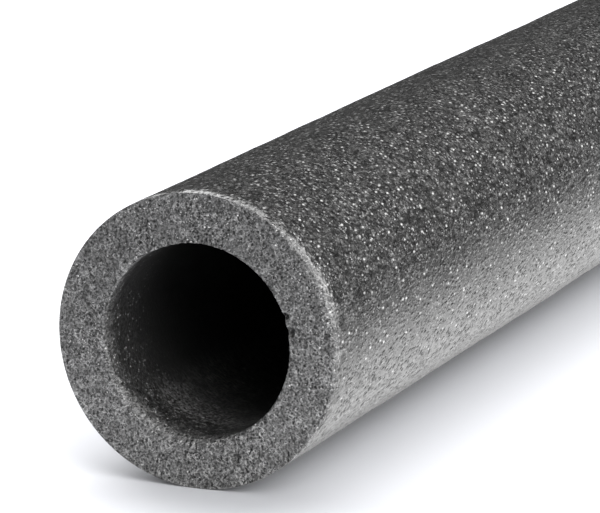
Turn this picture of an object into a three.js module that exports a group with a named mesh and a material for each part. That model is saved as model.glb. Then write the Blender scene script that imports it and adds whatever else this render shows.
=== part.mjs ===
// A stock length of polyethylene foam pipe lagging: one plain round tube, cut square at both ends.
// It is extruded and foamed in one piece, with no slit, seam, liner or separate skin.
// Millimetres, +Z up. The bore runs along X, and the origin is on the bore's axis at mid-length,
// so the tube lies on its side as it would on a floor.
import * as THREE from 'three';

// Driving sizes
const stockLength = 1000;
const boreDiameter = 35;
const wallThickness = 9;
const skinRimRadius = 1.2;
const boreRimRadius = 0.8;

// Facets round the tube, and along each rounded rim
const tubeFacets = 72;
const rimFacets = 4;

// How far the tube is rolled about its axis, which is where it comes to rest on a floor
const restRollDegrees = 12.5;

// Grey foam, from the photograph
const foamColour = '#6e6f71';
const foamRoughness = 0.75;
const foamMetalness = 0;

const boreRadius = boreDiameter / 2;
const skinRadius = boreRadius + wallThickness;
const endPlane = stockLength / 2;

// The wall's section: x is the distance from the bore's axis, and y the place along it.
// It goes anticlockwise, from the skin round both cut ends, and closes on itself.
function wallSection() {
  const skinRimCentre = { x: skinRadius - skinRimRadius, y: endPlane - skinRimRadius };
  const boreRimCentre = { x: boreRadius + boreRimRadius, y: endPlane - boreRimRadius };
  const quarter = Math.PI / 2;
  const section = new THREE.Path();
  section.moveTo(skinRadius, -skinRimCentre.y);
  section.lineTo(skinRadius, skinRimCentre.y);
  section.absarc(skinRimCentre.x, skinRimCentre.y, skinRimRadius, 0, quarter);
  section.lineTo(boreRimCentre.x, endPlane);
  section.absarc(boreRimCentre.x, boreRimCentre.y, boreRimRadius, quarter, 2 * quarter);
  section.lineTo(boreRadius, -boreRimCentre.y);
  section.absarc(boreRimCentre.x, -boreRimCentre.y, boreRimRadius, 2 * quarter, 3 * quarter);
  section.lineTo(skinRimCentre.x, -endPlane);
  section.absarc(skinRimCentre.x, -skinRimCentre.y, skinRimRadius, 3 * quarter, 4 * quarter);
  return section.getPoints(rimFacets / 2);
}

function foamTube() {
  // Half a facet of turn puts a flat facet at the bottom of the tube.
  const firstFacet = Math.PI / tubeFacets;
  const geometry = new THREE.LatheGeometry(wallSection(), tubeFacets, firstFacet);
  const foam = new THREE.MeshStandardMaterial({
    color: foamColour,
    roughness: foamRoughness,
    metalness: foamMetalness,
  });
  const tube = new THREE.Mesh(geometry, foam);
  tube.name = 'foam_tube';
  // The lathe turns about Y, and the tube lies along X.
  tube.rotation.z = -Math.PI / 2;
  tube.rotation.x = THREE.MathUtils.degToRad(restRollDegrees);
  return tube;
}

const lagging = new THREE.Group();
lagging.add(foamTube());

export default lagging;
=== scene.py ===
import math
from collections import namedtuple
from functools import reduce

import bpy
import numpy as np
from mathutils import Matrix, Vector


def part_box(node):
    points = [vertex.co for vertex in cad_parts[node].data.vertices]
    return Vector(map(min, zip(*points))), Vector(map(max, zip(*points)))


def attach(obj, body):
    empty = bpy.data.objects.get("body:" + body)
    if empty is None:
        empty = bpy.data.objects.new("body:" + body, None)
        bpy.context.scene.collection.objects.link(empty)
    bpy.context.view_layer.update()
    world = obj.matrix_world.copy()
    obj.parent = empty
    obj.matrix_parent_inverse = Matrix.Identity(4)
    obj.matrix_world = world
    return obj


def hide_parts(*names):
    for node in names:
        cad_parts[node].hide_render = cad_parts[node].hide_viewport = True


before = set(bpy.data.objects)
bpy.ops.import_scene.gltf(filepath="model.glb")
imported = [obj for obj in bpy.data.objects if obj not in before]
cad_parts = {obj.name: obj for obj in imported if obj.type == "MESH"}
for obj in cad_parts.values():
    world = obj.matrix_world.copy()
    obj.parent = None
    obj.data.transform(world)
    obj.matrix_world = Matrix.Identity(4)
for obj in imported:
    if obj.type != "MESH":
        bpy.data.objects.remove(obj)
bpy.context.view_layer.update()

MM = 0.001
NODE = "foam_tube"
PIECE = "foam_tube_cells"

# Sizes that come from the frame
tube_low, tube_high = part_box(NODE)
node_radii = [math.hypot(v.co.y, v.co.z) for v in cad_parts[NODE].data.vertices]
BORE_RADIUS = min(node_radii)
SKIN_RADIUS = max(node_radii)
NEAR_END = tube_low.x
FAR_END = tube_high.x
FLOOR_HEIGHT = tube_low.z

# Which end of the tube, and which way a surface faces
NEAR = -1
FAR = 1
OUTWARDS = 0
INWARDS = math.pi
QUARTER_TURN = math.pi / 2

# Cut cells: their size, the depth of the deepest pit, and the shallowest as a share of it
CELL_SIZE = 0.75 * MM
PIT_DEPTH = 0.24 * MM
SHALLOWEST_PIT = 0.35
# How much nearer its own cell's centre than the next one's a point is where a pit's slope starts and ends
SLOPE_START = 0.04 * CELL_SIZE
SLOPE_END = 0.42 * CELL_SIZE
# Finer cells among them: their size and slope, their depth as a share of the large ones' depth, and the
# random number of a cell that is flat. Those below it stand up.
FINE_CELL_SIZE = 0.42 * CELL_SIZE
FINE_SLOPE_END = 0.22 * CELL_SIZE
FINE_PIT_SHARE = 0.3
FLAT_FINE_KEY = 0.3
CELL_SALT = 21
FINE_CELL_SALT = 31

# Lumps that raise and lower a surface. The factors of X, Y and Z draw them out where they are below 1.
Lumps = namedtuple("Lumps", "height size factors salt")
EVEN = (1, 1, 1)
TATTERS = Lumps(height=0.05 * MM, size=0.5 * CELL_SIZE, factors=EVEN, salt=41)
KNIFE_MARKS = Lumps(height=0.10 * MM, size=5 * MM, factors=(1, 1, 0.4), salt=42)
SWELL = Lumps(height=0.09 * MM, size=7 * MM, factors=EVEN, salt=43)
LONG_SWELL = Lumps(height=0.22 * MM, size=60 * MM, factors=EVEN, salt=44)
DIMPLES = Lumps(height=0.03 * MM, size=2.5 * MM, factors=EVEN, salt=45)
BORE_RIDGES = Lumps(height=0.10 * MM, size=2.2 * MM, factors=(1, 0.2, 0.2), salt=46)
# How much of its relief torn foam loses on the bore's wall
BORE_SMOOTHING = 0.5

# Rims of the cut ends: the least rounding, how much more there is on one side, which side that is, and
# the power that keeps it to that side
Rim = namedtuple("Rim", "least more side power")
SKIN_RIM = Rim(least=0.05 * MM, more=1.5 * MM, side=math.radians(166), power=9)
BORE_RIM = Rim(least=0.3 * MM, more=1.5 * MM, side=math.radians(292), power=4)
# The rounding is uneven. Each wave has a size, as a share of the rim's radius, an amount and a salt.
RIM_WAVES = ((0.3, 0.4, 11), (0.06, 0.5, 12))
LEAST_UNEVEN = 0.1
MOST_UNEVEN = 1.5
# How far apart the two ends' waves are read, so that the ends differ
END_SPACING = 3.0
# A rim that is rounded less than this has less relief, so that the surface never folds over
FULL_RELIEF_ROUNDING = 0.35 * MM

# How far into the bore the torn foam of the cut goes, how much further on the rounded side, the power
# that keeps it to that side, and how uneven the reach is
TORN_LEAST = 4 * MM
TORN_MORE = 16 * MM
TORN_POWER = 2
TORN_UNEVEN = 0.3
TORN_LUMP_SIZE = 2.5 * MM
TORN_SALT = 13
# How cut the skin still is at the rim, between what depths that ends, and the power that keeps the
# change from cut foam to the end of the rim's turn
SCUFF_SHARE = 0.5
SCUFF_START = 1.5 * MM
SCUFF_END = 4.5 * MM
SCUFF_TURN_POWER = 4

# Nicks in the near end's face: angle in degrees, distance from the axis, and size
NICKS = ((160, 17.9 * MM, 0.8 * MM), (169, 18.1 * MM, 1.0 * MM), (250, 21.5 * MM, 0.9 * MM))
NICK_DEPTH = 0.8 * MM
NICK_REACH = 3 * MM

# Mesh: columns round each end, and rings of each stretch of an end
FINE_COLUMNS = 768
FAR_COLUMNS = FINE_COLUMNS // 2
NEAR_FACE_RINGS = 44
FAR_FACE_RINGS = 16
RIM_RINGS = 11
BORE_RIM_RINGS = 8
# Along the walls the columns are halved after every few rings, up to so many times
RINGS_PER_HALVING = 2
MOST_HALVINGS = 3
# The walls' rings are close together near the near end. The steps between them grow, with one limit in
# the length that the camera sees and another beyond it. No ring of a wall is within the margin of an end.
SEEN_LENGTH = 250 * MM
FIRST_STEP = 0.3 * MM
SEEN_GROWTH = 1.25
UNSEEN_GROWTH = 1.3
Steps = namedtuple("Steps", "margin longest_seen longest")
SKIN_STEPS = Steps(margin=3.2 * MM, longest_seen=1.6 * MM, longest=12 * MM)
BORE_STEPS = Steps(margin=2.6 * MM, longest_seen=4 * MM, longest=25 * MM)


# Noise

# Whole numbers that scatter a cell's place and its salt, and shifts and factors that mix the result
PLACE_FACTORS = (73856093, 19349663, 83492791)
SALT_FACTOR = 2654435761
MIXING = ((15, 2246822519), (13, 3266489917))
LAST_SHIFT = 16
# Further, in cells, than any nearest centre can be
FAR_AWAY = 9.0
AXES = 3


def lattice_random(cell, salt):
    """A repeatable random number from 0 to 1 for each whole-number cell."""
    with np.errstate(over="ignore"):
        mixed = np.uint32(salt) * np.uint32(SALT_FACTOR)
        for axis, factor in enumerate(PLACE_FACTORS):
            mixed = mixed ^ (cell[:, axis].astype(np.uint32) * np.uint32(factor))
        for shift, factor in MIXING:
            mixed = (mixed ^ (mixed >> np.uint32(shift))) * np.uint32(factor)
        mixed = mixed ^ (mixed >> np.uint32(LAST_SHIFT))
    return mixed.astype(float) / 2**32


def foam_cells(points, size, salt):
    """For each point: how much further the next cell's centre is than the nearest one's, and a random
    number that belongs to the nearest cell."""
    grid = points / size
    base = np.floor(grid).astype(np.int64)
    nearest = np.full(len(points), FAR_AWAY)
    second = np.full(len(points), FAR_AWAY)
    key = np.zeros(len(points))
    steps = (-1, 0, 1)
    for step in [(i, j, k) for i in steps for j in steps for k in steps]:
        cell = base + np.array(step)
        jitter = np.stack([lattice_random(cell, salt + axis) for axis in range(AXES)], axis=1)
        distance = np.linalg.norm(grid - cell - jitter, axis=1)
        closer = distance < nearest
        second = np.where(closer, nearest, np.minimum(second, distance))
        key = np.where(closer, lattice_random(cell, salt + AXES), key)
        nearest = np.where(closer, distance, nearest)
    return (second - nearest) * size, key


def smooth(part):
    """A rise from 0 to 1 that starts and ends gently."""
    return part * part * (3 - 2 * part)


def smooth_step(low, high, value):
    """0 below low, 1 above high, and a smooth rise between them."""
    return smooth(np.clip((value - low) / (high - low), 0, 1))


def soft_noise(points, size, salt):
    """Smooth noise from -1 to 1 with lumps of about that size."""
    grid = points / size
    base = np.floor(grid).astype(np.int64)
    part = smooth(grid - base)
    total = np.zeros(len(points))
    for corner in [(i, j, k) for i in (0, 1) for j in (0, 1) for k in (0, 1)]:
        corner = np.array(corner)
        weight = np.prod(np.where(corner == 1, part, 1 - part), axis=1)
        total += weight * lattice_random(base + corner, salt)
    return 2 * total - 1


# The tube's mesh

class Rings:
    """The tube's rings, in order round its wall, with where each one's points are before any relief."""

    def __init__(self):
        self.points = []
        self.normals = []
        self.cuts = []
        self.bores = []
        self.strengths = []

    def add(self, columns, along, radius, lean, cut, bore, strength):
        """One ring. along and radius are numbers or one value per column. lean is the direction that the
        surface faces: 0 straight out from the axis, and 90 degrees along +X. cut and bore say how much of
        the ring is cut foam and bore wall, and strength how much of the relief it gets."""
        angle = ring_angles(columns)
        axis = np.array([1.0, 0.0, 0.0])
        outward = np.stack([np.zeros(columns), np.cos(angle), np.sin(angle)], axis=1)
        along = np.broadcast_to(along, columns)[:, None]
        radius = np.broadcast_to(radius, columns)[:, None]
        self.points.append(along * axis + radius * outward)
        self.normals.append(math.sin(lean) * axis + math.cos(lean) * outward)
        self.cuts.append(np.broadcast_to(cut, columns))
        self.bores.append(np.full(columns, float(bore)))
        self.strengths.append(np.broadcast_to(strength, columns))


def ring_angles(columns):
    """The angle of each point on a ring."""
    return np.arange(columns) * 2 * math.pi / columns


def side_share(angle, side):
    """1 on that side of the tube, and 0 on the opposite one."""
    return 0.5 + 0.5 * np.cos(angle - side)


def rim_rounding(angle, end, rim):
    """How far a cut rim is rounded off at each angle: most on one side, and uneven."""
    ring = np.stack([np.cos(angle), np.sin(angle), np.full(len(angle), END_SPACING * end)], axis=1)
    uneven = 1
    for size, amount, salt in RIM_WAVES:
        uneven = uneven + amount * soft_noise(ring, size, salt)
    worn = side_share(angle, rim.side) ** rim.power
    return rim.least + rim.more * worn * np.clip(uneven, LEAST_UNEVEN, MOST_UNEVEN)


def relief_strength(rounding):
    """How much of the relief there is on a rim of that rounding, or that far from one."""
    return np.minimum(1, rounding / FULL_RELIEF_ROUNDING)


def add_end(rings, end, columns, face_rings):
    """A cut end, NEAR or FAR: the near one's rings go from the bore to the skin, and the far one's back."""
    angle = ring_angles(columns)
    plane = NEAR_END if end == NEAR else FAR_END
    outer = rim_rounding(angle, end, SKIN_RIM)
    inner = rim_rounding(angle, end, BORE_RIM)
    scuffed = SCUFF_SHARE * side_share(angle, SKIN_RIM.side)
    made = []
    for turn in np.linspace(0, 1, BORE_RIM_RINGS)[:-1]:
        bend = turn * QUARTER_TURN
        along = plane - end * inner * (1 - math.sin(bend))
        radius = BORE_RADIUS + inner * (1 - math.cos(bend))
        made.append((along, radius, INWARDS - end * bend, 1, 1 - turn, relief_strength(inner)))
    for share in np.linspace(0, 1, face_rings):
        radius = (BORE_RADIUS + inner) * (1 - share) + (SKIN_RADIUS - outer) * share
        to_rim = np.minimum(radius - BORE_RADIUS, SKIN_RADIUS - radius)
        made.append((plane, radius, end * QUARTER_TURN, 1, 0, relief_strength(to_rim)))
    for turn in np.linspace(0, 1, RIM_RINGS)[1:]:
        bend = turn * QUARTER_TURN
        along = plane - end * outer * (1 - math.cos(bend))
        radius = SKIN_RADIUS - outer * (1 - math.sin(bend))
        cut = 1 - (1 - scuffed) * turn**SCUFF_TURN_POWER
        made.append((along, radius, end * (QUARTER_TURN - bend), cut, 0, relief_strength(outer)))
    if end == FAR:
        made.reverse()
    for ring in made:
        rings.add(columns, *ring)


def stretch(start, end, first_step, growth, most):
    """Places from start to end, with steps that grow from first_step up to most."""
    places = []
    step = first_step
    place = start + step
    while place < end - step / 2:
        places.append(place)
        step = min(step * growth, most)
        place += step
    return places


def torn_share(angle, depth):
    """How torn the bore's wall is at that depth: most near the cut and on one side, and uneven."""
    ring = [np.cos(angle) * BORE_RADIUS, np.sin(angle) * BORE_RADIUS, np.full(len(angle), depth)]
    uneven = 1 + TORN_UNEVEN * soft_noise(np.stack(ring, axis=1), TORN_LUMP_SIZE, TORN_SALT)
    reach = TORN_LEAST + TORN_MORE * side_share(angle, BORE_RIM.side) ** TORN_POWER
    return 1 - smooth_step(0, 1, depth / (reach * uneven))


def scuffed_share(angle, depth):
    """How much the skin looks like cut foam at that depth from the end."""
    return SCUFF_SHARE * side_share(angle, SKIN_RIM.side) * (1 - smooth_step(SCUFF_START, SCUFF_END, depth))


def wall_places(steps):
    """Where a wall's rings are along the tube: close together near the near end."""
    seen_end = NEAR_END + SEEN_LENGTH
    seen = stretch(NEAR_END + steps.margin, seen_end, FIRST_STEP, SEEN_GROWTH, steps.longest_seen)
    unseen = stretch(seen_end, FAR_END - steps.margin, steps.longest_seen, UNSEEN_GROWTH, steps.longest)
    return seen + unseen


def wall_columns(count):
    """How many columns each of so many rings has: fewer and fewer, and half the far end's in the last."""
    columns = []
    for index in range(count):
        halvings = min(MOST_HALVINGS, 1 + index // RINGS_PER_HALVING)
        columns.append(FINE_COLUMNS // 2**halvings)
    columns[-1] = FAR_COLUMNS // 2
    return columns


def add_skin(rings):
    """The skin's rings, from the near end to the far one."""
    places = wall_places(SKIN_STEPS)
    for place, columns in zip(places, wall_columns(len(places))):
        cut = scuffed_share(ring_angles(columns), min(place - NEAR_END, FAR_END - place))
        rings.add(columns, place, SKIN_RADIUS, OUTWARDS, cut, 0, 1)


def add_bore(rings):
    """The rings of the bore's wall, from the far end back to the near one."""
    places = wall_places(BORE_STEPS)
    for place, columns in reversed(list(zip(places, wall_columns(len(places))))):
        cut = torn_share(ring_angles(columns), min(place - NEAR_END, FAR_END - place))
        rings.add(columns, place, BORE_RADIUS, INWARDS, cut, 1, 1)


def bridge(first_start, first_count, next_start, next_count):
    """Faces between two rings, whose numbers of points are equal or one twice the other."""
    faces = []
    if first_count == next_count:
        for i in range(first_count):
            j = (i + 1) % first_count
            faces.append((first_start + i, first_start + j, next_start + j, next_start + i))
        return faces
    wide, narrow = (first_start, next_start) if first_count > next_count else (next_start, first_start)
    few = min(first_count, next_count)
    for i in range(few):
        j = (i + 1) % few
        a, b, c = wide + 2 * i, wide + 2 * i + 1, wide + 2 * j
        low, high = narrow + i, narrow + j
        parts = [(a, b, low), (b, high, low), (b, c, high)]
        if first_count < next_count:
            parts = [tuple(reversed(part)) for part in parts]
        faces.extend(parts)
    return faces


def ring_faces(counts):
    """Faces between all the rings, and from the last one back to the first."""
    starts = [sum(counts[:index]) for index in range(len(counts))]
    faces = []
    for index, count in enumerate(counts):
        after = (index + 1) % len(counts)
        faces.extend(bridge(starts[index], count, starts[after], counts[after]))
    return faces


def nicked(points):
    """How much of a nick there is at each point, from 0 to 1."""
    total = np.zeros(len(points))
    for degrees, distance, size in NICKS:
        angle = math.radians(degrees)
        middle = np.array([math.cos(angle), math.sin(angle)]) * distance
        away = np.linalg.norm(points[:, 1:] - middle, axis=1) / size
        total = np.maximum(total, np.clip(1 - away**2, 0, 1))
    return total * (points[:, 0] < NEAR_END + NICK_REACH)


def lump_height(points, lumps):
    """How far the lumps raise each point."""
    return lumps.height * soft_noise(points * np.array(lumps.factors), lumps.size, lumps.salt)


def relief(points, cut, bore):
    """How far each point moves along the surface's own direction, and how open the foam is there."""
    gap, key = foam_cells(points, CELL_SIZE, CELL_SALT)
    fine_gap, fine_key = foam_cells(points, FINE_CELL_SIZE, FINE_CELL_SALT)
    inside = smooth_step(SLOPE_START, SLOPE_END, gap)
    fine_inside = smooth_step(0, FINE_SLOPE_END, fine_gap)
    fine_depth = FINE_PIT_SHARE * fine_inside * (fine_key - FLAT_FINE_KEY)
    open_cell = inside * (SHALLOWEST_PIT + (1 - SHALLOWEST_PIT) * key) + fine_depth
    rough = -PIT_DEPTH * open_cell + lump_height(points, TATTERS) + lump_height(points, KNIFE_MARKS)
    nick = nicked(points)
    cut_relief = rough - NICK_DEPTH * nick
    swell = lump_height(points, SWELL) + lump_height(points, LONG_SWELL)
    skin_relief = swell - lump_height(points, DIMPLES)
    wall_relief = skin_relief * (1 - bore) + lump_height(points, BORE_RIDGES) * bore
    height = cut_relief * cut * (1 - BORE_SMOOTHING * bore) + wall_relief * (1 - cut)
    return height, np.clip(open_cell + nick, 0, 1)


def tube_mesh():
    """The whole tube as one closed mesh, with its relief in the points."""
    rings = Rings()
    add_end(rings, NEAR, FINE_COLUMNS, NEAR_FACE_RINGS)
    add_skin(rings)
    add_end(rings, FAR, FAR_COLUMNS, FAR_FACE_RINGS)
    add_bore(rings)
    points = np.concatenate(rings.points)
    cut = np.concatenate(rings.cuts)
    bore = np.concatenate(rings.bores)
    height, openness = relief(points, cut, bore)
    height = height * np.concatenate(rings.strengths)
    points = points + np.concatenate(rings.normals) * height[:, None]
    points[:, 2] = np.maximum(points[:, 2], FLOOR_HEIGHT)
    mesh = bpy.data.meshes.new(PIECE)
    mesh.from_pydata(points.tolist(), [], ring_faces([len(ring) for ring in rings.points]))
    for name, values in (("cut", cut), ("bore", bore), ("open", openness)):
        layer = mesh.attributes.new(name, "FLOAT", "POINT")
        layer.data.foreach_set("value", values.astype(np.float32))
    mesh.shade_smooth()
    mesh.validate()
    mesh.update()
    return mesh


# Materials. A shade is how bright a grey is, with 0 for black and 1 for white. A pair of numbers is where
# something starts and ends, or what it is at that start and that end.

RISE = (0.0, 1.0)
FALL = (1.0, 0.0)
WHOLE = (0.0, 1.0)
# The middle part of a noise's range, and how much detail a noise has
MIDDLE = (0.3, 0.7)
SOFT = 2.0
GRAINY = 3.0
# Round dots: their size, where a dot starts to fade and ends, as shares of the size, and the random
# numbers of the cells whose dot is just missing and whole
Dots = namedtuple("Dots", "size edge keys")


class Nodes:
    """Short calls for building a material's nodes."""

    def __init__(self, tree):
        self.tree = tree

    def put(self, socket, value):
        """Links the value to the socket if it is another node's, and else sets it."""
        if isinstance(value, bpy.types.NodeSocket):
            self.tree.links.new(value, socket)
        else:
            socket.default_value = value

    def add(self, kind, **inputs):
        """A node of that kind. Names with underscores are its sockets, and a value may be another socket."""
        node = self.tree.nodes.new(kind)
        for name, value in inputs.items():
            self.put(node.inputs[name.replace("_", " ")], value)
        return node

    def operate(self, kind, operation, values):
        """A node of that kind, set to an operation on the values."""
        node = self.tree.nodes.new(kind)
        node.operation = operation
        for socket, value in zip(node.inputs, values):
            self.put(socket, value)
        return node

    def math(self, operation, *values):
        """What an operation makes of numbers."""
        return self.operate("ShaderNodeMath", operation, values).outputs[0]

    def total(self, *values):
        """All the numbers added up."""
        return reduce(lambda first, second: self.math("ADD", first, second), values)

    def product(self, *values):
        """All the numbers multiplied."""
        return reduce(lambda first, second: self.math("MULTIPLY", first, second), values)

    def ramp(self, value, span, results=RISE):
        """A smooth change from the first result to the second while the value goes over the span."""
        low, high = span
        start, end = results
        node = self.add(
            "ShaderNodeMapRange", Value=value, From_Min=low, From_Max=high, To_Min=start, To_Max=end
        )
        node.interpolation_type = "SMOOTHSTEP"
        return node.outputs["Result"]

    def mix(self, share, first, second):
        """The first number where the share is 0, and the second where it is 1."""
        return self.add("ShaderNodeMix", Factor=share, A=first, B=second).outputs["Result"]

    def attribute(self, name):
        """A number that the mesh has for each of its points."""
        node = self.add("ShaderNodeAttribute")
        node.attribute_name = name
        return node.outputs["Fac"]

    def along(self, direction, azimuth, height):
        """How much a direction agrees with the one at those two angles in degrees, from -1 to 1."""
        turn = math.radians(azimuth)
        rise = math.radians(height)
        other = (math.cos(rise) * math.cos(turn), math.cos(rise) * math.sin(turn), math.sin(rise))
        return self.operate("ShaderNodeVectorMath", "DOT_PRODUCT", (direction, other)).outputs["Value"]

    def stretched(self, place, factors):
        """The place with each of its three numbers multiplied."""
        return self.operate("ShaderNodeVectorMath", "MULTIPLY", (place, factors)).outputs[0]

    def drawn(self, place, draw):
        """The place for a pattern that is drawn out along the tube, that many times."""
        return self.stretched(place, (1 / draw, 1, 1))

    def bent(self, place, size, amount):
        """The place, moved about by smooth noise of that size."""
        noise = self.add("ShaderNodeTexNoise", Vector=place, Scale=1 / size).outputs["Color"]
        values = (noise, (amount, amount, amount), place)
        return self.operate("ShaderNodeVectorMath", "MULTIPLY_ADD", values).outputs[0]

    def axes(self, place):
        """The three numbers of a place: along the tube, across it and up."""
        return list(self.add("ShaderNodeSeparateXYZ", Vector=place).outputs)

    def noise(self, place, size, detail):
        """Noise with lumps of about that size."""
        return self.add("ShaderNodeTexNoise", Vector=place, Scale=1 / size, Detail=detail).outputs["Fac"]

    def cells(self, place, size, feature="F1"):
        """A pattern of cells of about that size."""
        node = self.add("ShaderNodeTexVoronoi", Vector=place, Scale=1 / size)
        node.feature = feature
        return node

    def keys(self, cells):
        """Three random numbers for each cell of a pattern."""
        return list(self.add("ShaderNodeSeparateColor", Color=cells.outputs["Color"]).outputs)

    def walls(self, place, size, edge):
        """Thin walls between cells of about that size."""
        cells = self.cells(place, size, "DISTANCE_TO_EDGE")
        return self.ramp(cells.outputs["Distance"], edge, FALL)

    def dots(self, place, dots):
        """How much of a dot there is at each place, from 0 to 1."""
        cells = self.cells(place, dots.size)
        spot = self.ramp(cells.outputs["Distance"], dots.edge, FALL)
        return self.product(spot, self.ramp(self.keys(cells)[0], dots.keys))

    def blister(self, cells, radius):
        """A round bump in each cell, 1 at its middle and 0 from its radius outwards, with a soft foot."""
        part = self.math("DIVIDE", cells.outputs["Distance"], radius)
        bump = self.math("MAXIMUM", self.math("SUBTRACT", 1.0, self.product(part, part)), 0.0)
        return self.product(bump, bump)


# Cut foam: how far and by noise of what size its cells are bent, and the sizes of its grain and blotches
CELL_BEND_SIZE = 0.7 * MM
CELL_BEND = 0.45 * MM
GRAIN_SIZE = 0.35 * MM
BLOTCH_SIZE = 1.7 * MM
# Its shade, the painted shade of its pits, and what grain, blotches and the painted shade of small pits
# multiply it by
FOAM_SHADE = 0.102
PAINTED_PIT_SHADE = 0.003
GRAIN_SHADES = (0.15, 1.75)
BLOTCH_SHADES = (0.75, 1.25)
SMALL_PIT_PAINTED_SHADES = (1.0, 0.05)
# How open the foam is where the painted shade of pits starts and where it is whole, and what fades it in
# some blotches
PAINTED_PIT_OPENNESS = (0.2, 0.9)
PAINTED_PIT_BLOTCHES = (0.3, 0.65)
PAINTED_PIT_FADE = (0.5, 1.0)
SMALL_PIT = Dots(size=0.76 * MM, edge=(0.15, 0.45), keys=(0.2, 0.7))
# Pale walls: their cells' sizes, where a wall starts to fade and ends, as shares of the size, the random
# numbers of the cells that have one, and what the walls add to the shade
WALL_SIZE = 1.0 * MM
WALL_EDGE = (0.02, 0.12)
WALL_KEYS = (0.3, 1.0)
WALL_SHADE = 0.2
FINE_WALL_SIZE = 0.5 * MM
FINE_WALL_EDGE = (0.02, 0.2)
FINE_WALL_SHADE = 0.035
# Painted highlights: bright specks in the colour that stand for glints off cell walls, and what they add to
# the shade
SPECK_SIZE = 0.5 * MM
HIGHLIGHT_SPECK = Dots(size=SPECK_SIZE, edge=(0.0, 0.5), keys=(0.75, 1.0))
PAINTED_HIGHLIGHT_SHADE = 0.9
FINE_HIGHLIGHT_SPECK = Dots(size=0.32 * MM, edge=(0.1, 0.5), keys=(0.75, 1.0))
FINE_PAINTED_HIGHLIGHT_SHADE = 0.4
# Painted shade: torn foam darkens over these depths of the bore, and noise makes the depths ragged
TORN_SHADE_DEPTHS = (0.0, 6 * MM)
TORN_PAINTED_SHADES = (1.0, 0.22)
RAGGED_SIZE = 1.2 * MM
RAGGED_DEPTHS = (-1.5 * MM, 1.5 * MM)
# Painted light: cut foam is paler low down, and a little paler on the -Y side
CUT_HEIGHTS = (0.7 * SKIN_RADIUS, -0.9 * SKIN_RADIUS)
CUT_PAINTED_HEIGHT_SHADES = (0.92, 1.42)
CUT_WIDTHS = (0.1 * SKIN_RADIUS, -0.7 * SKIN_RADIUS)
CUT_PAINTED_WIDTH_SHADES = (1.02, 1.1)
# How high walls and grain stand, and how deep small pits are
WALL_HEIGHT = 0.06 * MM
GRAIN_HEIGHT = 0.03 * MM
SMALL_PIT_DEPTH = 0.06 * MM


def cut_foam(n, place, openness, bore_depth):
    """Shade and height of cut foam: dull cells with pits darkened by painted shade, some pale walls and a
    few bright specks that are painted highlights.
    """
    across, up = n.axes(place)[1:]
    bent = n.bent(place, CELL_BEND_SIZE, CELL_BEND)
    grain = n.noise(place, GRAIN_SIZE, GRAINY)
    blotch = n.noise(place, BLOTCH_SIZE, SOFT)
    wall_key = n.keys(n.cells(bent, WALL_SIZE))[0]
    wall = n.product(n.walls(bent, WALL_SIZE, WALL_EDGE), n.ramp(wall_key, WALL_KEYS))
    fine_wall = n.walls(bent, FINE_WALL_SIZE, FINE_WALL_EDGE)
    # Painted shade: pits are darkened in the colour, on top of their relief
    painted_pit_shade = n.product(n.ramp(openness, PAINTED_PIT_OPENNESS), n.ramp(blotch, PAINTED_PIT_BLOTCHES, PAINTED_PIT_FADE))
    small_pit = n.dots(bent, SMALL_PIT)
    ragged = n.ramp(n.noise(place, RAGGED_SIZE, GRAINY), MIDDLE, RAGGED_DEPTHS)
    torn_depth = n.total(bore_depth, ragged)
    shade = n.mix(painted_pit_shade, FOAM_SHADE, PAINTED_PIT_SHADE)
    shade = n.product(shade, n.ramp(grain, MIDDLE, GRAIN_SHADES), n.ramp(blotch, MIDDLE, BLOTCH_SHADES))
    shade = n.total(shade, n.product(wall, WALL_SHADE), n.product(fine_wall, FINE_WALL_SHADE))
    shade = n.product(
        shade,
        # Painted shade in the small pits
        n.ramp(small_pit, WHOLE, SMALL_PIT_PAINTED_SHADES),
        # Painted shade: darker deeper into the bore
        n.ramp(torn_depth, TORN_SHADE_DEPTHS, TORN_PAINTED_SHADES),
        # Painted light: paler low down and on the -Y side
        n.ramp(up, CUT_HEIGHTS, CUT_PAINTED_HEIGHT_SHADES),
        n.ramp(across, CUT_WIDTHS, CUT_PAINTED_WIDTH_SHADES),
    )
    # Painted highlights: bright specks added to the colour
    painted_highlight = n.product(n.dots(bent, HIGHLIGHT_SPECK), PAINTED_HIGHLIGHT_SHADE)
    fine_painted_highlight = n.product(n.dots(place, FINE_HIGHLIGHT_SPECK), FINE_PAINTED_HIGHLIGHT_SHADE)
    height = n.total(n.product(wall, WALL_HEIGHT), n.product(grain, GRAIN_HEIGHT))
    height = n.math("SUBTRACT", height, n.product(small_pit, SMALL_PIT_DEPTH))
    return n.total(shade, n.total(painted_highlight, fine_painted_highlight)), height


# Skin: how far its blisters, its clouds and painted highlight dots, and its dull spots are drawn out along
# the tube
BLISTER_DRAW = 2.0
CLOUD_DRAW = 1.9
DULL_SPOT_DRAW = 1.3
# The sizes of its clouds and patches, the shade that clouds give it, and what the rest multiply that by
CLOUD_SIZE = 0.8 * MM
CLOUD_SHADES = (0.006, 0.034)
FINE_CLOUD_SIZE = 0.35 * MM
FINE_CLOUD_SHADES = (0.3, 1.7)
PATCH_SIZE = 9 * MM
PATCH_SHADES = (0.8, 1.2)
BLISTER_SHADES = (0.6, 1.5)
# Painted light and shade: the skin and its painted glints are paler on the -Y side and darker towards +Y
SKIN_WIDTHS = (0.5 * SKIN_RADIUS, -0.7 * SKIN_RADIUS)
SKIN_PAINTED_WIDTH_SHADES = (0.6, 1.5)
PAINTED_GLINT_WIDTH_SHADES = (0.15, 1.3)
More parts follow.
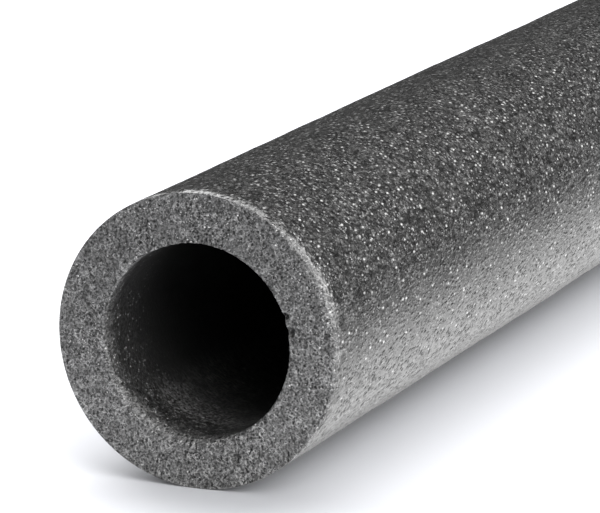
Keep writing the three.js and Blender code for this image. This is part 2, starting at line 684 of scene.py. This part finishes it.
# Painted glints: bright dots in the colour that stand for highlights, and what they add to the shade
PAINTED_GLINT = Dots(size=0.85 * MM, edge=(0.0, 0.42), keys=(0.65, 1.0))
PAINTED_GLINT_SHADE = 0.5
SMALL_PAINTED_GLINT = Dots(size=0.5 * MM, edge=(0.0, 0.5), keys=(0.6, 1.0))
SMALL_PAINTED_GLINT_SHADE = 0.2
# Blisters: their size, radius as a share of it, and height, how much smaller the small ones are, and how
# the heights of both follow their random numbers
BLISTER_SIZE = 0.8 * MM
BLISTER_RADIUS = 0.6
BLISTER_HEIGHT = 0.142 * MM
SMALL_BLISTER_SHARE = 0.55
BLISTER_KEYS = (0.1, 1.0)
BLISTER_HEIGHTS = (0.0, 1.4)
SMALL_BLISTER_HEIGHTS = (0.0, SMALL_BLISTER_SHARE)
# Low rolls under them: size, the factors that draw them out, and height
ROLL_SIZE = 0.8 * MM
ROLL_FACTORS = (0.42, 1, 1)
ROLL_HEIGHT = 0.07 * MM
# Low down the blisters are taller and the dull spots stronger
SKIN_HEIGHTS = (0.1 * SKIN_RADIUS, -0.5 * SKIN_RADIUS)
LOW_BLISTER_HEIGHTS = (1.0, 1.58)
LOW_DULLNESS = (0.4, 1.0)
# Dull spots, and the roughness between them and in them
DULL_SPOT = Dots(size=1.1 * MM, edge=(0.15, 0.48), keys=(0.1, 0.65))
SKIN_ROUGHNESS = (0.21, 0.8)


def skin_film(n, place):
    """Shade, height and roughness of the skin: a cloudy film over small blisters, with painted highlight
    dots and dull spots. They are drawn out along the tube, and painted shade makes the film darkest on the
    +Y side."""
    across, up = n.axes(place)[1:]
    blister_place = n.drawn(place, BLISTER_DRAW)
    cloud_place = n.drawn(place, CLOUD_DRAW)
    blisters = n.cells(blister_place, BLISTER_SIZE)
    height_key, shade_key = n.keys(blisters)[:2]
    small_blisters = n.cells(blister_place, SMALL_BLISTER_SHARE * BLISTER_SIZE)
    small_key = n.keys(small_blisters)[0]
    shade = n.product(
        n.ramp(n.noise(cloud_place, CLOUD_SIZE, GRAINY), MIDDLE, CLOUD_SHADES),
        # Painted shade: the film is darker towards the +Y side
        n.ramp(across, SKIN_WIDTHS, SKIN_PAINTED_WIDTH_SHADES),
        n.ramp(n.noise(place, PATCH_SIZE, GRAINY), MIDDLE, PATCH_SHADES),
        n.ramp(n.noise(cloud_place, FINE_CLOUD_SIZE, SOFT), MIDDLE, FINE_CLOUD_SHADES),
        n.ramp(shade_key, WHOLE, BLISTER_SHADES),
    )
    # Painted highlights: bright dots added to the colour
    painted_glint = n.product(n.dots(cloud_place, PAINTED_GLINT), PAINTED_GLINT_SHADE)
    small_painted_glint = n.product(n.dots(cloud_place, SMALL_PAINTED_GLINT), SMALL_PAINTED_GLINT_SHADE)
    painted_glints = n.product(n.total(painted_glint, small_painted_glint), n.ramp(across, SKIN_WIDTHS, PAINTED_GLINT_WIDTH_SHADES))
    low_side = n.ramp(up, SKIN_HEIGHTS)
    tall = n.product(n.blister(blisters, BLISTER_RADIUS), n.ramp(height_key, BLISTER_KEYS, BLISTER_HEIGHTS))
    small = n.blister(small_blisters, BLISTER_RADIUS)
    small = n.product(small, n.ramp(small_key, BLISTER_KEYS, SMALL_BLISTER_HEIGHTS))
    height = n.product(n.total(tall, small), BLISTER_HEIGHT, n.ramp(low_side, WHOLE, LOW_BLISTER_HEIGHTS))
    roll = n.noise(n.stretched(place, ROLL_FACTORS), ROLL_SIZE, SOFT)
    height = n.total(height, n.product(roll, ROLL_HEIGHT))
    dull = n.dots(n.drawn(place, DULL_SPOT_DRAW), DULL_SPOT)
    dull = n.product(dull, n.ramp(low_side, WHOLE, LOW_DULLNESS))
    return n.total(shade, painted_glints), height, n.ramp(dull, WHOLE, SKIN_ROUGHNESS)


# Bore wall: its fibres, with the factors that draw them out round it, how far and by noise of what size
# they are bent, and the part of their noise that shows; and its grain
FIBRE_SIZE = 0.4 * MM
FIBRE_FACTORS = (1, 0.25, 0.25)
FIBRE_BEND_SIZE = 3 * MM
FIBRE_BEND = 3 * MM
FIBRE_NOISE = (0.5, 0.75)
BORE_GRAIN_SIZE = 0.5 * MM
BORE_GRAIN_NOISE = (0.35, 0.7)
BORE_GRAIN_SHADES = (0.0, 0.07)
# Painted light and shade: it is paler low down, where its fibres show, and paler near its ends than deeper
# in
BORE_HEIGHTS = (-0.5 * BORE_RADIUS, -0.95 * BORE_RADIUS)
BORE_PAINTED_HEIGHT_SHADES = (0.5, 3.7)
FIBRE_SHADES = (0.0, 0.4)
BORE_DEPTHS = (1 * MM, 26 * MM)
BORE_PAINTED_DEPTH_SHADES = (0.35, 1.2)
DARKEST_BORE_SHADE = 0.014
# Painted highlights: specks near its ends that stand for sparkles, and what they add to the shade
PAINTED_SPARKLE = Dots(size=SPECK_SIZE, edge=(0.0, 0.5), keys=(0.8, 1.0))
PAINTED_SPARKLE_SHADE = 0.8
BORE_BUMP_HEIGHT = 0.05 * MM


def bore_wall(n, place, depth):
    """Shade and height of the bore's wall: dark and grainy, with fine fibres round it low down, painted
    light low down and near its ends, and painted sparkles.
    """
    bent = n.bent(place, FIBRE_BEND_SIZE, FIBRE_BEND)
    fibres = n.ramp(n.noise(n.stretched(bent, FIBRE_FACTORS), FIBRE_SIZE, GRAINY), FIBRE_NOISE)
    grain = n.noise(place, BORE_GRAIN_SIZE, GRAINY)
    low = n.ramp(n.axes(place)[2], BORE_HEIGHTS)
    near = n.ramp(depth, BORE_DEPTHS, FALL)
    grain_shade = n.ramp(grain, BORE_GRAIN_NOISE, BORE_GRAIN_SHADES)
    # Painted light: the grain is paler low down
    shade = n.product(grain_shade, n.ramp(low, WHOLE, BORE_PAINTED_HEIGHT_SHADES))
    shade = n.total(shade, n.product(fibres, n.ramp(low, WHOLE, FIBRE_SHADES)))
    # Painted shade: darker deeper into the bore
    shade = n.total(n.product(shade, n.ramp(near, WHOLE, BORE_PAINTED_DEPTH_SHADES)), DARKEST_BORE_SHADE)
    # Painted highlights: sparkle specks near the ends
    shade = n.total(shade, n.product(n.dots(place, PAINTED_SPARKLE), near, PAINTED_SPARKLE_SHADE))
    return shade, n.product(n.total(grain, fibres), BORE_BUMP_HEIGHT)


# Foam as a whole: the ragged border between cut foam and wall
BORDER_SIZE = 0.9 * MM
BORDER_NOISE = (0.25, 0.75)
BORDER_SHIFT = (-0.35, 0.35)
BORDER = (0.3, 0.65)
# Painted shade: cut foam darkens as the surface turns from the face into the bore
TURN_INTO_BORE = (0.0, 0.7)
TURN_PAINTED_SHADES = (1.0, 0.75)
TINT = {"Red": 1.005, "Green": 1.0, "Blue": 0.985}
BORE_ROUGHNESS = 0.5
CUT_ROUGHNESS = 0.45
FOAM_SPECULAR = 0.8


def foam_material():
    """Grey foam: open cells where it is cut, a thin blistered skin outside, and a dark bore."""
    material = bpy.data.materials.new("grey_foam")
    material.use_nodes = True
    material.node_tree.nodes.clear()
    n = Nodes(material.node_tree)
    place = n.add("ShaderNodeTexCoord").outputs["Object"]
    depth = n.math("SUBTRACT", FAR_END, n.math("ABSOLUTE", n.axes(place)[0]))
    bore = n.attribute("bore")
    border = n.ramp(n.noise(place, BORDER_SIZE, GRAINY), BORDER_NOISE, BORDER_SHIFT)
    cut = n.ramp(n.total(n.attribute("cut"), border), BORDER)

    cut_shade, cut_height = cut_foam(n, place, n.attribute("open"), n.product(bore, depth))
    # Painted shade where the cut turns into the bore
    cut_shade = n.product(cut_shade, n.ramp(bore, TURN_INTO_BORE, TURN_PAINTED_SHADES))
    skin_shade, skin_height, skin_roughness = skin_film(n, place)
    bore_shade, bore_height = bore_wall(n, place, depth)
    shade = n.mix(cut, n.mix(bore, skin_shade, bore_shade), cut_shade)
    height = n.mix(cut, n.mix(bore, skin_height, bore_height), cut_height)
    roughness = n.mix(cut, n.mix(bore, skin_roughness, BORE_ROUGHNESS), CUT_ROUGHNESS)

    tinted = {name: n.product(shade, tint) for name, tint in TINT.items()}
    colour = n.add("ShaderNodeCombineColor", **tinted).outputs["Color"]
    normal = n.add("ShaderNodeBump", Height=height, Strength=1.0, Distance=1.0).outputs["Normal"]
    shader = n.add("ShaderNodeBsdfPrincipled", Base_Color=colour, Normal=normal, Roughness=roughness)
    shader.inputs["Specular IOR Level"].default_value = FOAM_SPECULAR
    n.add("ShaderNodeOutputMaterial", Surface=shader.outputs["BSDF"])
    return material


FLOOR_COLOUR = (0.835, 0.845, 0.88, 1)


def floor_material():
    """Matt pale floor."""
    material = bpy.data.materials.new("pale_floor")
    material.use_nodes = True
    shader = material.node_tree.nodes["Principled BSDF"]
    shader.inputs["Base Color"].default_value = FLOOR_COLOUR
    shader.inputs["Roughness"].default_value = 1.0
    shader.inputs["Specular IOR Level"].default_value = 0.0
    return material


# Studio

FLOOR_REACH = 12.0


def new_object(name, data):
    """A new object in the scene."""
    made = bpy.data.objects.new(name, data)
    bpy.context.scene.collection.objects.link(made)
    return made


def make_floor(name, side, material):
    """Half of the floor, on the +Y side (side = 1) or the -Y side (side = -1). Gloss doesn't show it."""
    edge = side * FLOOR_REACH
    corners = [(-FLOOR_REACH, 0), (FLOOR_REACH, 0), (FLOOR_REACH, edge), (-FLOOR_REACH, edge)]
    mesh = bpy.data.meshes.new(name)
    mesh.from_pydata([(x, y, FLOOR_HEIGHT) for x, y in corners], [], [(0, 1, 2, 3)])
    mesh.materials.append(material)
    floor = new_object(name, mesh)
    floor.visible_glossy = False


# Soft lights of the world: azimuth and height in degrees, round from +X towards +Y and up from the floor,
# how much a direction agrees with theirs where each one's edge is, and how strong each one is
Lobe = namedtuple("Lobe", "azimuth height edge strength")
BEHIND = Lobe(azimuth=17, height=34, edge=0.44, strength=9.4)
SIDE = Lobe(azimuth=240, height=35, edge=0.79, strength=5.4)
# How much a direction points along +X where the light behind starts to fade and where it ends
BEHIND_END = (0.55, 0.8)
# Light from below: how much a direction points up, and towards +Y, where it starts and where it is whole
BELOW_HEIGHTS = (0.1, -0.5)
BELOW_WIDTHS = (0.45, -0.1)
BELOW_STRENGTH = 2.12
AMBIENT_STRENGTH = 0.05


def lobe_light(n, direction, lobe):
    """How bright a soft light of the world is in each direction."""
    agreement = n.along(direction, lobe.azimuth, lobe.height)
    return n.ramp(agreement, (lobe.edge, 1.0), (0.0, lobe.strength))


def make_world():
    """Two soft lights, one beyond the tube's far end and one on its -Y side, and a pale light from below,
    which takes the floor's place in gloss."""
    world = bpy.data.worlds.new("studio")
    bpy.context.scene.world = world
    world.use_nodes = True
    world.node_tree.nodes.clear()
    n = Nodes(world.node_tree)
    direction = n.add("ShaderNodeTexCoord").outputs["Generated"]
    ahead, across, up = n.axes(direction)
    behind = n.product(lobe_light(n, direction, BEHIND), n.ramp(ahead, BEHIND_END, FALL))
    side = lobe_light(n, direction, SIDE)
    below = n.product(n.ramp(up, BELOW_HEIGHTS, (0.0, BELOW_STRENGTH)), n.ramp(across, BELOW_WIDTHS))
    light = n.total(behind, side, n.total(below, AMBIENT_STRENGTH))
    background = n.add("ShaderNodeBackground", Strength=light)
    n.add("ShaderNodeOutputWorld", Surface=background.outputs[0])


# A lamp beside the tube, and the point that it faces
SIDE_LAMP_PLACE = (0.2, -0.95, 0.7)
SIDE_LAMP_AIM = (-0.4, 0, 0)
SIDE_LAMP_SIZE = 0.6
SIDE_LAMP_WATTS = 12


def make_side_lamp(tube):
    """A square soft lamp that lights only the tube, and isn't seen by the camera."""
    data = bpy.data.lights.new("side_light", "AREA")
    data.size = SIDE_LAMP_SIZE
    data.energy = SIDE_LAMP_WATTS
    lamp = new_object("side_light", data)
    lamp.location = SIDE_LAMP_PLACE
    lamp.rotation_mode = "QUATERNION"
    lamp.rotation_quaternion = (Vector(SIDE_LAMP_AIM) - Vector(SIDE_LAMP_PLACE)).to_track_quat("-Z", "Y")
    lamp.visible_camera = False
    lit = bpy.data.collections.new("lit_by_side_light")
    lit.objects.link(tube)
    lamp.light_linking.receiver_collection = lit


# Camera: found from the outlines in the photograph. The lens and its sensor are in millimetres, and
# angles in degrees.
LENS = 250.0
SENSOR_WIDTH = 36
PITCH_DOWN = 12.8
YAW = 22.65
FACE_RIGHT_OF_AXIS = -18.1 * MM
FACE_BELOW_AXIS = 14.9 * MM
FACE_DISTANCE = 726 * MM
NEAREST_SEEN = 0.01
FURTHEST_SEEN = 100


def make_camera():
    """The photograph's view: the near end's face is left of the middle, and the tube runs off right."""
    yaw = math.radians(YAW)
    pitch = math.radians(PITCH_DOWN)
    level = Vector((math.cos(yaw), math.sin(yaw), 0))
    right = Vector((math.sin(yaw), -math.cos(yaw), 0))
    forward = level * math.cos(pitch) - Vector((0, 0, math.sin(pitch)))
    up = right.cross(forward)
    face = Vector((NEAR_END, 0, 0))
    data = bpy.data.cameras.new("photo_view")
    data.lens = LENS
    data.sensor_width = SENSOR_WIDTH
    data.clip_start = NEAREST_SEEN
    data.clip_end = FURTHEST_SEEN
    camera = new_object("photo_view", data)
    camera.location = face - right * FACE_RIGHT_OF_AXIS + up * FACE_BELOW_AXIS - forward * FACE_DISTANCE
    camera.rotation_mode = "QUATERNION"
    camera.rotation_quaternion = forward.to_track_quat("-Z", "Y")
    bpy.context.scene.camera = camera


def make_tube():
    """The piece that stands for the whole tube."""
    tube = new_object(PIECE, tube_mesh())
    tube.data.materials.append(foam_material())
    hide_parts(NODE)
    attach(tube, "root")
    return tube


make_camera()
make_world()
pale = floor_material()
make_floor("floor_left", 1, pale)
make_floor("floor_right", -1, pale)
make_side_lamp(make_tube())
bpy.context.scene.cycles.use_denoising = True
bpy.context.scene.view_settings.view_transform = "Standard"
